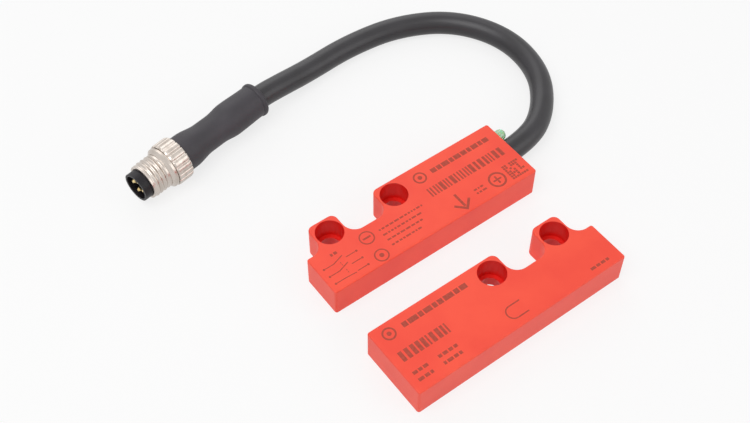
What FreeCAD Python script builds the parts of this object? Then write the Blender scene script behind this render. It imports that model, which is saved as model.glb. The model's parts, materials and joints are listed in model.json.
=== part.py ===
import FreeCAD, Part
import math
import os
import re
import Sketcher

# Non-contact safety switch: a coded magnetic sensor with a short cable and a screw plug,
# and the coded magnet block that it senses.
# Millimetres. The origin lies midway between the sensor's two screw holes, on the face that
# is screwed down. +X runs along the block to its cable end, +Y towards the screw ears, +Z up.

os.makedirs("parts", exist_ok=True)
doc = FreeCAD.newDocument("NonContactSwitch")

sizes = {
    # moulded block, the same outline for the sensor and, mirrored, for the magnet
    "housing_length": 51.0,
    "housing_width": 16.0,
    "housing_height": 7.0,
    "notch_depth": 6.25,
    "screw_pitch": 16.0,
    "screw_inset": 7.5,
    "screw_edge": 3.5,
    "screw_hole_radius": 2.1,
    "counterbore_radius": 2.95,
    "counterbore_depth": 4.7,
    "ear_wall": 0.4,
    "foot_radius": 2.8,
    "ear_radius": 1.4,
    "corner_radius": 0.5,
    "top_round": 0.3,
    "side_wall": 1.0,
    "top_wall": 1.0,
    "bore_wall": 1.05,
    "resin_recess": 0.2,
    # circuit board and what it carries
    "board_thickness": 1.0,
    "board_gap": 0.8,
    "board_setback": 6.5,
    "reed_radius": 0.9,
    "reed_length": 12.0,
    "reed_glass_wall": 0.25,
    "reed_seal": 0.75,
    "reed_top_gap": 0.2,
    "reed_start_gap": 0.4,
    "reed_end_gap": 1.1,
    "reed_side_gap": 1.1,
    "reed_step_gap": 1.8,
    "contact_gap": 0.2,
    "blade_radius": 0.25,
    "blade_width": 0.75,
    "blade_thickness": 0.25,
    "blade_lap": 0.25,
    "blade_overlap": 1.2,
    "blade_tail": 3.0,
    "resistor_length": 2.0,
    "resistor_width": 1.25,
    "resistor_height": 0.6,
    "resistor_cap": 0.35,
    "resistor_proud": 0.07,
    "resistor_pitch": 2.25,
    "resistor_inset": 0.4,
    "resistor_edge": 0.5,
    # status lamp in the cable end
    "lamp_radius": 1.3,
    "lamp_flange": 1.4,
    "lamp_flange_length": 1.2,
    "lamp_reach": 3.0,
    "lamp_tip_flat": 0.05,
    "lamp_side_gap": 0.05,
    "lamp_top_gap": 0.2,
    "lamp_lead_radius": 0.25,
    "lamp_lead_spacing": 1.27,
    "lamp_lead_overlap": 2.0,
    # cable and its four cores
    "cable_radius": 2.6,
    "cable_offset": -3.0,
    "cable_height": 3.3,
    "cable_inset": 3.0,
    "core_radius": 0.5,
    "core_spacing": 1.8,
    "core_overlap": 4.0,
    # round screw plug, lengths measured from the front of its contact carrier
    "plug_x": -32.6,
    "plug_y": 34.45,
    "plug_turn": 10.4,
    "carrier_radius": 3.25,
    "carrier_bead_radius": 3.6,
    "bead_start": 8.0,
    "bead_length": 1.0,
    "socket_radius": 2.75,
    "socket_depth": 5.5,
    "stem_radius": 2.9,
    "stem_end": 18.0,
    "key_width": 0.9,
    "key_depth": 0.5,
    "key_start": 0.8,
    "pin_radius": 0.5,
    "pin_circle": 1.5,
    "pin_turn": 10.0,
    "pin_tip": 0.45,
    "pin_nose_length": 0.35,
    "pin_nose_radius": 0.25,
    "pin_tail": 1.0,
    "thread_start": 1.9,
    "thread_radius": 4.0,
    "thread_length": 4.4,
    "undercut_length": 0.2,
    "undercut_radius": 3.8,
    "collar_radius": 4.65,
    "collar_length": 1.4,
    "collar_slope": 0.7,
    "knurl_radius": 4.9,
    "knurl_length": 3.7,
    "knurl_count": 18,
    "knurl_width": 0.5,
    "knurl_depth": 0.25,
    "ring_edge": 0.3,
    "ring_clearance": 0.08,
    "ring_end_gap": 0.15,
    "grip_front_radius": 4.05,
    "grip_waist_radius": 3.45,
    "grip_swell_radius": 3.9,
    "grip_tail_radius": 3.75,
    "grip_rim_radius": 4.0,
    "grip_front_length": 1.9,
    "grip_taper_length": 5.0,
    "grip_waist_length": 3.2,
    "grip_flare_length": 4.2,
    "grip_swell_length": 7.1,
    "grip_rim_length": 1.1,
    "grip_end_length": 0.55,
    "grip_blend": 5.0,
    "grip_rim_round": 0.2,
    "grip_mouth": 0.3,
    "cable_in_grip": 5.1,
    # coded magnet block
    "pair_pitch": 26.7,
    "pair_shift": 19.5,
    "magnet_side_gap": 1.15,
    "magnet_top_gap": 0.6,
    "magnet_thickness": 3.0,
    "magnet_first": 7.0,
    "magnet_spacing": 13.0,
}

# The cable's route, from inside the block to inside the plug: corners of straight runs,
# chosen by hand after the photograph.
cable_route = [
    (32.5, -3.0, 3.3),
    (42.0, -3.0, 3.3),
    (51.1, 2.2, 2.65),
    (58.1, 11.7, 2.65),
    (59.2, 24.4, 2.65),
    (52.8, 36.1, 2.65),
    (41.0, 42.6, 2.65),
    (28.0, 44.2, 2.65),
    (15.9, 42.9, 3.0),
    (5.4, 41.424, 4.9),
    (-3.388, 39.811, 4.9),
]

sheet = doc.addObject("Spreadsheet::Sheet", "Sizes")
for row, (alias, value) in enumerate(sizes.items(), start=1):
    sheet.set(f"A{row}", alias)
    sheet.set(f"B{row}", str(value))
    sheet.setAlias(f"B{row}", alias)
doc.recompute()

# An edge belongs to a corner of its sketch if it lies this near to it
tolerance = 0.01

# Places that several pieces share, written with the names of the sheet
narrow_end = "(0 - screw_inset - screw_pitch / 2)"
cable_end = f"({narrow_end} + housing_length)"
front_side = "(screw_edge - housing_width)"
ear_side = "screw_edge"
notch_floor = f"({ear_side} - notch_depth)"
ear_half = "(counterbore_radius + ear_wall)"
cavity_step_x = "(screw_pitch / 2 + counterbore_radius + bore_wall)"
cavity_step_y = "(0 - counterbore_radius - bore_wall)"
cavity_depth = "(housing_height - top_wall)"
reed_z = f"({cavity_depth} - reed_top_gap - reed_radius)"
board_top = f"({reed_z} - reed_radius)"
board_low = f"({board_top} - board_thickness)"
board_start = f"({narrow_end} + side_wall + board_gap)"
board_end = f"({cable_end} - side_wall - board_setback)"
cable_start = f"({cable_end} - cable_inset)"
end_wall = f"({cable_end} - side_wall)"
lamp_back = f"({end_wall} - lamp_flange_length)"
lamp_y = f"({ear_side} - side_wall - lamp_side_gap - lamp_flange)"
lamp_z = f"({cavity_depth} - lamp_top_gap - lamp_flange)"
thread_end = "(thread_start + thread_length)"
collar_start = f"({thread_end} + undercut_length)"
knurl_start = f"({collar_start} + collar_length)"
ring_end = f"({knurl_start} + knurl_length)"
grip_start = f"({ring_end} + ring_end_gap)"
grip_end = (
    f"({grip_start} + grip_front_length + grip_taper_length + grip_waist_length"
    " + grip_flare_length + grip_swell_length + grip_rim_length + grip_end_length)"
)
plug_cable_start = f"({grip_end} - cable_in_grip)"


def bound(text):
    """Give every size name in an expression its place in the sheet."""
    def in_sheet(word):
        return "Sizes." + word[0] if word[0] in sizes else word[0]

    return re.sub(r"[a-z_]+", in_sheet, text)


def bind(thing, prop, text):
    thing.setExpression(prop, bound(text))


def size(alias):
    return float(sheet.get(alias))


def new_body(label):
    body = doc.addObject("PartDesign::Body", label)
    body.Label = label
    return body


def new_sketch(body, name, plane, lift="0"):
    """An empty sketch on one of the body's own origin planes, moved along its normal."""
    sketch = body.newObject("Sketcher::SketchObject", name)
    support = next(item for item in body.Origin.OriginFeatures if item.Role == plane)
    sketch.AttachmentSupport = (support, [""])
    sketch.MapMode = "FlatFace"
    bind(sketch, "AttachmentOffset.Base.z", lift)
    return sketch


def fix_point(sketch, geometry, point, x_text, y_text):
    for kind, text in (("DistanceX", x_text), ("DistanceY", y_text)):
        index = sketch.addConstraint(Sketcher.Constraint(kind, -1, 1, geometry, point, 1.0))
        name = f"{kind}_{geometry}_{point}"
        sketch.renameConstraint(index, name)
        bind(sketch, "Constraints." + name, text)


def add_polygon(sketch, corners):
    """A closed outline of straight sides. A corner is its two distances from the sketch's
    origin and, where the finished piece is rounded there, the radius."""
    count = len(corners)
    first = sketch.GeometryCount
    turn = 2 * math.pi / count
    spots = [FreeCAD.Vector(math.cos(turn * k), math.sin(turn * k), 0) for k in range(count)]
    for k in range(count):
        sketch.addGeometry(Part.LineSegment(spots[k], spots[(k + 1) % count]))
    for k in range(count):
        sketch.addConstraint(
            Sketcher.Constraint("Coincident", first + k, 2, first + (k + 1) % count, 1)
        )
    for k, (x_text, y_text, *_) in enumerate(corners):
        fix_point(sketch, first + k, 1, x_text, y_text)


def add_circle(sketch, x_text, y_text, radius_text):
    number = sketch.addGeometry(
        Part.Circle(FreeCAD.Vector(0, 0, 0), FreeCAD.Vector(0, 0, 1), 1.0)
    )
    fix_point(sketch, number, 3, x_text, y_text)
    index = sketch.addConstraint(Sketcher.Constraint("Radius", number, 1.0))
    sketch.renameConstraint(index, f"Radius_{number}")
    bind(sketch, f"Constraints.Radius_{number}", radius_text)


def add_pad(body, sketch, length_text, name="Pad"):
    pad = body.newObject("PartDesign::Pad", name)
    pad.Profile = sketch
    bind(pad, "Length", length_text)
    doc.recompute()
    return pad


def add_pocket(body, sketch, length_text, name, forward=False):
    """Cut along the sketch's normal if forward, and else against it."""
    before = body.Shape.Volume
    pocket = body.newObject("PartDesign::Pocket", name)
    pocket.Profile = sketch
    pocket.Reversed = forward
    bind(pocket, "Length", length_text)
    doc.recompute()
    if not body.Shape.Volume < before:
        raise ValueError(f"{body.Label}: {name} cuts nothing")
    return pocket


def add_fillet(body, base, edges, radius_text, name):
    fillet = body.newObject("PartDesign::Fillet", name)
    fillet.Base = (base, edges)
    bind(fillet, "Radius", radius_text)
    doc.recompute()
    return fillet


def add_revolution(body, sketch):
    """Turn the sketch once round its own horizontal axis."""
    turned = body.newObject("PartDesign::Revolution", "Revolution")
    turned.Profile = sketch
    turned.ReferenceAxis = (sketch, ["H_Axis"])
    turned.Angle = 360.0
    doc.recompute()
    return turned


def turned_body(label, corners):
    """A body whose outline, along X from its axis, is turned once round."""
    body = new_body(label)
    sketch = new_sketch(body, label + "_profile", "XY_Plane")
    add_polygon(sketch, corners)
    return body, sketch, add_revolution(body, sketch)


def rounded_corners(sketch, corners, radius_text):
    """Where the corners lie that are rounded with this radius."""
    return [
        side.StartPoint
        for side, corner in zip(sketch.Geometry, corners)
        if corner[2:] == (radius_text,)
    ]


def upright_edges(feature, spots):
    """Names of the vertical edges that stand on the given sketch corners."""
    found = []
    for number, edge in enumerate(feature.Shape.Edges, start=1):
        box = edge.BoundBox
        if max(box.XLength, box.YLength) > tolerance:
            continue
        if any(math.hypot(box.XMin - spot.x, box.YMin - spot.y) < tolerance for spot in spots):
            found.append(f"Edge{number}")
    return found


def round_edges(feature, spots):
    """Names of the circles that the given corners draw when the sketch is turned."""
    found = []
    for number, edge in enumerate(feature.Shape.Edges, start=1):
        if not isinstance(edge.Curve, Part.Circle):
            continue
        centre, radius = edge.Curve.Center, edge.Curve.Radius
        if any(math.hypot(centre.x - spot.x, radius - spot.y) < tolerance for spot in spots):
            found.append(f"Edge{number}")
    return found


def level_edges(feature, height):
    """Names of the edges that lie flat at one height."""
    return [
        f"Edge{number}"
        for number, edge in enumerate(feature.Shape.Edges, start=1)
        if max(abs(edge.BoundBox.ZMin - height), abs(edge.BoundBox.ZMax - height)) < tolerance
    ]


def place(thing, x_text="0", y_text="0", z_text="0"):
    bind(thing, "Placement.Base.x", x_text)
    bind(thing, "Placement.Base.y", y_text)
    bind(thing, "Placement.Base.z", z_text)


def place_on_plug(body):
    """Lay a piece of the plug along its axis, which lies on the floor, turned a little from X."""
    body.Placement.Rotation = FreeCAD.Rotation(FreeCAD.Vector(0, 0, 1), size("plug_turn"))
    bind(body, "Placement.Rotation.Angle", "plug_turn * 1 deg")
    place(body, "plug_x", "plug_y", "knurl_radius")


def mirrored(text, hand):
    """The sensor block has hand 1 and the magnet block is its mirror image, hand -1."""
    return text if hand > 0 else f"(0 - {text})"


def mirrored_outline(corners, hand):
    """The outline for either hand. It runs anticlockwise for both, as its fillets need."""
    return [(mirrored(x, hand), *rest) for x, *rest in corners][::hand]


# The moulded block

def block_outline(hand):
    ear_left = f"(0 - screw_pitch / 2 - {ear_half})"
    ear_right = f"(0 - screw_pitch / 2 + {ear_half})"
    wide_left = f"(screw_pitch / 2 - {ear_half})"
    return mirrored_outline([
        (narrow_end, front_side, "corner_radius"),
        (cable_end, front_side, "corner_radius"),
        (cable_end, ear_side, "corner_radius"),
        (wide_left, ear_side, "ear_radius"),
        (wide_left, notch_floor, "foot_radius"),
        (ear_right, notch_floor, "foot_radius"),
        (ear_right, ear_side, "ear_radius"),
        (ear_left, ear_side, "ear_radius"),
        (ear_left, notch_floor, "foot_radius"),
        (narrow_end, notch_floor, "corner_radius"),
    ], hand)


def cavity_outline(hand):
    """The electronics space: narrow beside the screw holes, full width past them."""
    left, right = f"({narrow_end} + side_wall)", f"({cable_end} - side_wall)"
    low, high = f"({front_side} + side_wall)", f"({ear_side} - side_wall)"
    return mirrored_outline([
        (left, low),
        (right, low),
        (right, high),
        (cavity_step_x, high),
        (cavity_step_x, cavity_step_y),
        (left, cavity_step_y),
    ], hand)


def moulded_block(label, hand):
    body = new_body(label)
    corners = block_outline(hand)
    outline = new_sketch(body, label + "_outline", "XY_Plane")
    add_polygon(outline, corners)
    shape = add_pad(body, outline, "housing_height")
    for radius_text in ("corner_radius", "ear_radius", "foot_radius"):
        spots = rounded_corners(outline, corners, radius_text)
        shape = add_fillet(body, shape, upright_edges(shape, spots), radius_text, radius_text)
    top_edges = level_edges(shape, size("housing_height"))
    add_fillet(body, shape, top_edges, "top_round", "TopRound")

    hole_places = (mirrored("(0 - screw_pitch / 2)", hand), mirrored("(screw_pitch / 2)", hand))
    heads = new_sketch(body, label + "_heads", "XY_Plane", "housing_height")
    holes = new_sketch(body, label + "_holes", "XY_Plane", "housing_height")
    for x_text in hole_places:
        add_circle(heads, x_text, "0", "counterbore_radius")
        add_circle(holes, x_text, "0", "screw_hole_radius")
    add_pocket(body, heads, "counterbore_depth", "Counterbores")
    add_pocket(body, holes, "housing_height", "ScrewHoles")

    cavity = new_sketch(body, label + "_cavity", "XY_Plane")
    add_polygon(cavity, cavity_outline(hand))
    add_pocket(body, cavity, cavity_depth, "Cavity", forward=True)
    return body


def end_wall_bore(body, name, y_text, z_text, radius_text):
    """A round hole through the wall at the cable end."""
    sketch = new_sketch(body, name + "_circle", "YZ_Plane", cable_end)
    add_circle(sketch, y_text, z_text, radius_text)
    add_pocket(body, sketch, "side_wall", name)


def resin_fill(label, hand):
    """The potting resin before its buried pieces are cut out of it."""
    body = new_body(label)
    outline = new_sketch(body, label + "_outline", "XY_Plane", "resin_recess")
    add_polygon(outline, cavity_outline(hand))
    add_pad(body, outline, f"{cavity_depth} - resin_recess")
    return body


def cut_out(label, base, tools):
    """Take every buried piece out of the resin, one after the other."""
    for number, tool in enumerate(tools, start=1):
        cut = doc.addObject("Part::Cut", f"{label}_{number}")
        cut.Base = base
        cut.Tool = tool
        base = cut
    base.Label = label
    doc.recompute()
    return base


# Small turned and flat pieces of the electronics

def rod_along_x(label, start, end, radius_text, y_text, z_text):
    rod = doc.addObject("Part::Cylinder", label)
    rod.Label = label
    rod.Placement.Rotation = FreeCAD.Rotation(FreeCAD.Vector(0, 1, 0), 90)
    bind(rod, "Radius", radius_text)
    bind(rod, "Height", f"{end} - {start}")
    place(rod, start, y_text, z_text)
    return rod


def flat_box(label, x_text, y_text, z_text, length, width, height):
    box = doc.addObject("Part::Box", label)
    box.Label = label
    bind(box, "Length", length)
    bind(box, "Width", width)
    bind(box, "Height", height)
    place(box, x_text, y_text, z_text)
    return box


def circuit_board():
    body = new_body("circuit_board")
    outline = new_sketch(body, "board_outline", "XY_Plane", board_low)
    low, high = f"({front_side} + side_wall + board_gap)", f"({ear_side} - side_wall - board_gap)"
    add_polygon(outline, [
        (board_start, low),
        (board_end, low),
        (board_end, high),
        (f"{cavity_step_x} + board_gap", high),
        (f"{cavity_step_x} + board_gap", f"{cavity_step_y} - board_gap"),
        (board_start, f"{cavity_step_y} - board_gap"),
    ])
    add_pad(body, outline, "board_thickness")
    return body


# The first contact lies at the block's far end beside the front wall, and the second at the
# board's cable end beside the screw hole's wall.
reed_places = (
    (
        f"({board_start} + reed_start_gap + blade_tail)",
        f"({front_side} + side_wall + reed_side_gap + reed_radius)",
    ),
    (
        f"({board_end} - reed_end_gap - blade_tail - reed_length)",
        f"({cavity_step_y} - reed_step_gap - reed_radius)",
    ),
)


def joined(label, first, second):
    both = doc.addObject("Part::Fuse", label)
    both.Label = label
    both.Base = first
    both.Tool = second
    doc.recompute()
    return both


def reed_blade(label, lead, flat, lift, y_text):
    """A round lead whose inner end is rolled flat, above or below the contact's axis."""
    lead_start, lead_end = lead
    flat_start, flat_end = flat
    wire = rod_along_x(label + "_lead", lead_start, lead_end, "blade_radius", y_text, reed_z)
    tongue = flat_box(
        label + "_flat", flat_start, f"{y_text} - blade_width / 2", f"{reed_z} + {lift}",
        f"{flat_end} - {flat_start}", "blade_width", "blade_thickness",
    )
    return joined(label, wire, tongue)


def reed_contact(number, start, y_text):
    """One glass reed switch: a sealed tube and two blades that overlap in it, open at rest."""
    name = f"reed_{number}"
    end = f"({start} + reed_length)"
    seal_in, seal_out = f"({start} + reed_seal)", f"({end} - reed_seal)"
    middle = f"({start} + reed_length / 2)"
    blades = [
        reed_blade(
            name + "_blade_in", (f"({start} - blade_tail)", seal_in),
            (f"({seal_in} - blade_lap)", f"({middle} + blade_overlap / 2)"),
            "(0 - contact_gap / 2 - blade_thickness)", y_text,
        ),
        reed_blade(
            name + "_blade_out", (seal_out, f"({end} + blade_tail)"),
            (f"({middle} - blade_overlap / 2)", f"({seal_out} + blade_lap)"),
            "contact_gap / 2", y_text,
        ),
    ]
    blank = rod_along_x(name + "_blank", start, end, "reed_radius", y_text, reed_z)
    room = rod_along_x(
        name + "_room", seal_in, seal_out, "reed_radius - reed_glass_wall", y_text, reed_z
    )
    glass = blank
    for tool, step in ((room, "_hollow"), (blades[0], "_seal"), (blades[1], "_glass")):
        cut = doc.addObject("Part::Cut", name + step)
        cut.Base = glass
        cut.Tool = tool
        glass = cut
    glass.Label = name + "_glass"
    doc.recompute()
    return glass, blades, blank


def chip_resistor(number):
    """A ceramic chip between two end caps that stand slightly proud of it."""
    label = f"chip_resistor_{number}"
    x_text = f"({cavity_step_x} + board_gap + resistor_inset)"
    y_text = (
        f"({ear_side} - side_wall - board_gap - resistor_edge - resistor_width"
        f" - resistor_pitch * {number - 1})"
    )
    chip = flat_box(
        label + "_chip", x_text, f"{y_text} + resistor_proud", board_top,
        "resistor_length", "resistor_width - resistor_proud * 2", "resistor_height - resistor_proud",
    )
    far_cap_x = f"{x_text} + resistor_length - resistor_cap"
    near_cap, far_cap = (
        flat_box(
            label + side, cap_x, y_text, board_top, "resistor_cap", "resistor_width", "resistor_height"
        )
        for side, cap_x in (("_near_cap", x_text), ("_far_cap", far_cap_x))
    )
    return joined(label, joined(label + "_half", chip, near_cap), far_cap)


def status_lamp():
    """A round lens with a flange that seats inside the end wall and a domed tip outside."""
    dome = "lamp_radius - lamp_tip_flat"
    corners = [
        (lamp_back, "0"),
        (lamp_back, "lamp_flange"),
        (end_wall, "lamp_flange"),
        (end_wall, "lamp_radius"),
        (f"({cable_end} + lamp_reach)", "lamp_radius", dome),
        (f"({cable_end} + lamp_reach)", "0"),
    ]
    body, sketch, turned = turned_body("status_lamp", corners)
    add_fillet(body, turned, round_edges(turned, rounded_corners(sketch, corners, dome)), dome, "Dome")
    place(body, "0", lamp_y, lamp_z)
    return body


# The screw plug

# The four contacts stand on one circle, a quarter turn apart
pin_angles = [f"(pin_turn + {quarter * 90}) * 1 deg" for quarter in range(4)]
pin_places = [(f"pin_circle * cos({angle})", f"pin_circle * sin({angle})") for angle in pin_angles]


def contact_bores(body, start, length, name):
    sketch = new_sketch(body, name + "_circles", "YZ_Plane", start)
    for y_text, z_text in pin_places:
        add_circle(sketch, y_text, z_text, "pin_radius")
    add_pocket(body, sketch, length, name, forward=True)


def contact_carrier():
    body, _, _ = turned_body("contact_carrier", [
        ("0", "socket_radius"),
        ("0", "carrier_radius"),
        ("bead_start", "carrier_radius"),
        ("bead_start", "carrier_bead_radius"),
        ("bead_start + bead_length", "carrier_bead_radius"),
        ("bead_start + bead_length", "carrier_radius"),
        (grip_start, "carrier_radius"),
        (grip_start, "stem_radius"),
        ("stem_end", "stem_radius"),
        ("stem_end", "0"),
        ("socket_depth", "0"),
        ("socket_depth", "socket_radius"),
    ])
    contact_bores(body, "socket_depth", "stem_end - socket_depth", "carrier_bores")
    # the rib that keys the socket stands midway between two contacts
    key = new_sketch(body, "key_outline", "YZ_Plane", "key_start")
    bind(key, "AttachmentOffset.Rotation.Angle", "(pin_turn + 45) * 1 deg")
    low, high = "(0 - socket_radius - key_depth / 2)", "(key_depth - socket_radius)"
    add_polygon(key, [
        ("0 - key_width / 2", low),
        ("key_width / 2", low),
        ("key_width / 2", high),
        ("0 - key_width / 2", high),
    ])
    add_pad(body, key, "socket_depth - key_start", "Key")
    place_on_plug(body)
    return body


def rod_on_plug(label, place_text, front, end):
    """A pin or wire along the plug's axis, from the corners of its front end to its far end."""
    y_text, z_text = place_text
    body = new_body(label)
    sketch = new_sketch(body, label + "_profile", "XY_Plane", z_text)
    bind(sketch, "AttachmentOffset.Base.y", y_text)
    add_polygon(sketch, front + [(end, "pin_radius"), (end, "0")])
    add_revolution(body, sketch)
    place_on_plug(body)
    return body


def coupling_ring():
    """The knurled ring with its threaded sleeve, which turns on the contact carrier."""
    bore = "(carrier_radius + ring_clearance)"
    relief = "(carrier_bead_radius + ring_clearance)"
    relief_start = "(bead_start - ring_clearance * 2)"
    body, _, _ = turned_body("coupling_ring", [
        ("thread_start", bore),
        ("thread_start", "thread_radius - ring_edge"),
        ("thread_start + ring_edge", "thread_radius"),
        (thread_end, "thread_radius"),
        (thread_end, "undercut_radius"),
        (collar_start, "undercut_radius"),
        (collar_start, "collar_radius - collar_slope"),
        (f"{collar_start} + collar_slope", "collar_radius"),
        (knurl_start, "collar_radius"),
        (f"{knurl_start} + knurl_radius - collar_radius", "knurl_radius"),
        (f"{ring_end} - ring_edge", "knurl_radius"),
        (ring_end, "knurl_radius - ring_edge"),
        (ring_end, relief),
        (relief_start, relief),
        (relief_start, bore),
    ])
    groove = new_sketch(body, "knurl_groove", "YZ_Plane", ring_end)
    floor = "(knurl_radius - knurl_depth)"
    add_polygon(groove, [
        ("0 - knurl_width / 2", floor),
        ("knurl_width / 2", floor),
        ("knurl_width", "knurl_radius + knurl_depth"),
        ("0 - knurl_width", "knurl_radius + knurl_depth"),
    ])
    pocket = add_pocket(body, groove, "knurl_length", "KnurlGroove")
    pattern = body.newObject("PartDesign::PolarPattern", "Knurl")
    pattern.Originals = [pocket]
    axis = next(item for item in body.Origin.OriginFeatures if item.Role == "X_Axis")
    pattern.Axis = (axis, [""])
    pattern.Angle = 360.0
    bind(pattern, "Occurrences", "knurl_count")
    body.Tip = pattern
    doc.recompute()
    place_on_plug(body)
    return body


def plug_grip():
    """The soft grip moulded over the carrier's stem, the cores and the cable's end."""
    steps = (
        ("grip_front_length", "grip_front_radius"),
        ("grip_taper_length", "grip_waist_radius"),
        ("grip_waist_length", "grip_waist_radius"),
        ("grip_flare_length", "grip_swell_radius"),
    )
    corners = [(grip_start, "stem_radius"), (grip_start, "grip_front_radius")]
    along = grip_start
    for length, radius_text in steps:
        along = f"{along} + {length}"
        corners.append((along, radius_text, "grip_blend"))
    rim_end = f"({grip_end} - grip_end_length)"
    corners += [
        (f"{rim_end} - grip_rim_length", "grip_tail_radius"),
        (f"{rim_end} - grip_rim_length", "grip_rim_radius", "grip_rim_round"),
        (rim_end, "grip_rim_radius", "grip_rim_round"),
        (grip_end, "cable_radius + grip_mouth"),
        (grip_end, "cable_radius"),
        (plug_cable_start, "cable_radius"),
        (plug_cable_start, "0"),
        ("stem_end", "0"),
        ("stem_end", "stem_radius"),
    ]
    body, sketch, shape = turned_body("plug_grip", corners)
    for radius_text in ("grip_blend", "grip_rim_round"):
        edges = round_edges(shape, rounded_corners(sketch, corners, radius_text))
        shape = add_fillet(body, shape, edges, radius_text, radius_text)
    contact_bores(body, "stem_end", f"{plug_cable_start} - stem_end", "grip_bores")
    place_on_plug(body)
    return body


# The cable

def rounded_path(points):
    """Straight runs joined by tangent arcs, each as large as its two runs allow."""
    run_share = 0.45
    spots = [FreeCAD.Vector(*point) for point in points]
    edges = []
    radii = []
    start = spots[0]
    for before, corner, after in zip(spots, spots[1:], spots[2:]):
        back = (before - corner).normalize()
        ahead = (after - corner).normalize()
        half_turn = (math.pi - back.getAngle(ahead)) / 2
        reach = run_share * min((before - corner).Length, (after - corner).Length)
        radius = reach / math.tan(half_turn)
        radii.append(radius)
        entry = corner + back * reach
        leave = corner + ahead * reach
        to_centre = (back + ahead).normalize()
        middle = corner + to_centre * (radius / math.cos(half_turn) - radius)
        edges.append(Part.LineSegment(start, entry).toShape())
        edges.append(Part.Arc(entry, middle, leave).toShape())
        start = leave
    edges.append(Part.LineSegment(start, spots[-1]).toShape())
    print("cable radii", [round(radius, 1) for radius in radii])
    return Part.Wire(edges)


def cable_tube():
    path = rounded_path(cable_route)
    start = FreeCAD.Vector(*cable_route[0])
    ahead = FreeCAD.Vector(*cable_route[1]) - start
    circle = Part.Wire(Part.Circle(start, ahead, size("cable_radius")).toShape())
    tube = path.makePipeShell([circle], True, True)
    straight_volume = math.pi * size("cable_radius") ** 2 * path.Length
    print("cable length", round(path.Length, 1), "volume ratio", round(tube.Volume / straight_volume, 4))
    cable = doc.addObject("Part::Feature", "cable")
    cable.Label = "cable"
    cable.Shape = tube
    cable.Placement = FreeCAD.Placement()
    return cable


nodes = []

# sensor block
sensor_housing = moulded_block("switch_housing", 1)
end_wall_bore(sensor_housing, "CableBore", "cable_offset", "cable_height", "cable_radius")
end_wall_bore(sensor_housing, "LampBore", lamp_y, lamp_z, "lamp_radius")
nodes.append(sensor_housing)

board = circuit_board()
lamp = status_lamp()
buried = [board, lamp]
nodes += [board, lamp]

for number, (start, y_text) in enumerate(reed_places, start=1):
    glass, blades, blank = reed_contact(number, start, y_text)
    nodes += [glass] + blades
    buried += [blank] + blades
    resistor = chip_resistor(number)
    nodes.append(resistor)
    buried.append(resistor)

for number, side in ((1, "-"), (2, "+")):
    lead = rod_along_x(
        f"lamp_lead_{number}", f"({board_end} - lamp_lead_overlap)", lamp_back, "lamp_lead_radius",
        f"{lamp_y} {side} lamp_lead_spacing / 2", f"{board_top} + lamp_lead_radius",
    )
    nodes.append(lead)
    buried.append(lead)

core_places = (
    ("+", f"({board_top} + core_radius)"),
    ("-", f"({board_top} + core_radius)"),
    ("-", f"({board_low} - core_radius)"),
    ("+", f"({board_low} - core_radius)"),
)
for number, (side, z_text) in enumerate(core_places, start=1):
    core = rod_along_x(
        f"core_{number}", f"({board_end} - core_overlap)", cable_start, "core_radius",
        f"cable_offset {side} core_spacing / 2", z_text,
    )
    nodes.append(core)
    buried.append(core)

cable = cable_tube()
nodes.append(cable)
buried.append(cable)
nodes.append(cut_out("switch_potting", resin_fill("sensor_resin", 1), buried))

# plug
nodes += [contact_carrier(), coupling_ring(), plug_grip()]
pin_end = "(stem_end + pin_tail)"
pin_nose = [
    ("pin_tip", "0"),
    ("pin_tip", "pin_nose_radius"),
    ("pin_tip + pin_nose_length", "pin_radius"),
]
core_front = [(pin_end, "0"), (pin_end, "pin_radius")]
for number, spot in enumerate(pin_places, start=1):
    nodes.append(rod_on_plug(f"contact_pin_{number}", spot, pin_nose, pin_end))
    nodes.append(rod_on_plug(f"plug_core_{number}", spot, core_front, plug_cable_start))

# magnet block
magnet_housing = moulded_block("magnet_housing", -1)
magnets = []
for number in (1, 2, 3):
    magnet = doc.addObject("Part::Cylinder", f"coding_magnet_{number}")
    magnet.Label = f"coding_magnet_{number}"
    # the magnets are as wide as the narrow end of the cavity lets them be
    bind(magnet, "Radius", f"({cavity_step_y} - {front_side} - side_wall) / 2 - magnet_side_gap")
    bind(magnet, "Height", "magnet_thickness")
    magnet_x = f"(0 - {narrow_end} - side_wall - magnet_first - magnet_spacing * {number - 1})"
    magnet_y = f"(({front_side} + side_wall + {cavity_step_y}) / 2)"
    magnet_z = f"{cavity_depth} - magnet_top_gap - magnet_thickness"
    place(magnet, f"pair_shift + {magnet_x}", f"{magnet_y} - pair_pitch", magnet_z)
    magnets.append(magnet)
magnet_resin = resin_fill("magnet_resin", -1)
for half in (magnet_housing, magnet_resin):
    place(half, "pair_shift", "0 - pair_pitch")
doc.recompute()
nodes += [magnet_housing] + magnets
nodes.append(cut_out("magnet_potting", magnet_resin, magnets))

doc.recompute()
for thing in doc.Objects:
    if "Invalid" in thing.State or "Error" in thing.State:
        raise ValueError(f"{thing.Label} failed: {thing.State}")
for node in nodes:
    if node.Shape.isNull() or not node.Shape.isValid():
        raise ValueError(f"{node.Label} has no valid shape")
for node in nodes:
    node.Shape.exportStep(f"parts/{node.Label}.step")
print("wrote", len(nodes), "pieces")
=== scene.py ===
import bmesh
import bpy
import json
import math
import random
from mathutils import Matrix, Vector


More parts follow.
